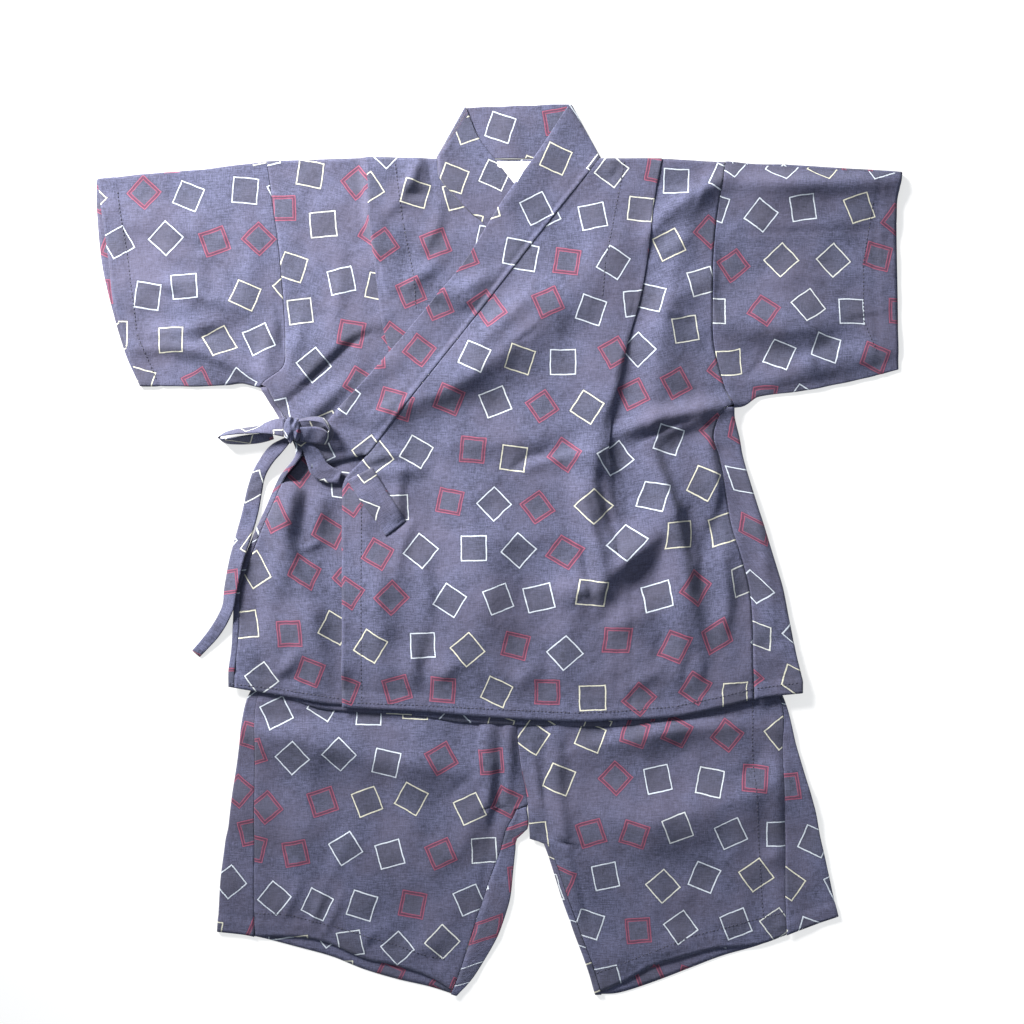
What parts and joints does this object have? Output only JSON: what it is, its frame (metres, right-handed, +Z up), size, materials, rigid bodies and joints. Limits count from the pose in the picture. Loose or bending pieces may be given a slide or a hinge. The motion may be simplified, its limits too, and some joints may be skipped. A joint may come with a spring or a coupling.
{
  "type": "jinbei set",
  "caption": "Child's jinbei laid flat: a wrapped cotton jacket with wide sleeves, tied with a bow, over matching shorts with an elastic waist.",
  "frame": {"origin": "centre of the bounding box's bottom face, on the surface that the set lies on", "axes": "+Y from the hem of the shorts toward the neck, +Z up from the surface, through the set; the wearer's left is toward +X"},
  "size_m": [0.6462, 0.7167, 0.0204],
  "materials": {
    "cotton": "matte plain weave, blue-grey",
    "label": "smooth white satin, bare"
  },
  "bodies": {
    "root": {"jacket_back": "cotton", "jacket_front_right": "cotton", "jacket_front_left": "cotton", "sleeve_right": "cotton", "sleeve_left": "cotton", "collar": "cotton", "neck_label": "label", "tie_root_side": "cotton", "tie_root_collar": "cotton", "tie_loop_outer": "cotton", "tie_loop_inner": "cotton", "tie_tail_long": "cotton", "tie_tail_short": "cotton", "tie_knot": "cotton", "shorts_back_right": "cotton", "shorts_back_left": "cotton", "shorts_front_right": "cotton", "shorts_front_left": "cotton", "waistband": "cotton"}
  },
  "joints": []
}
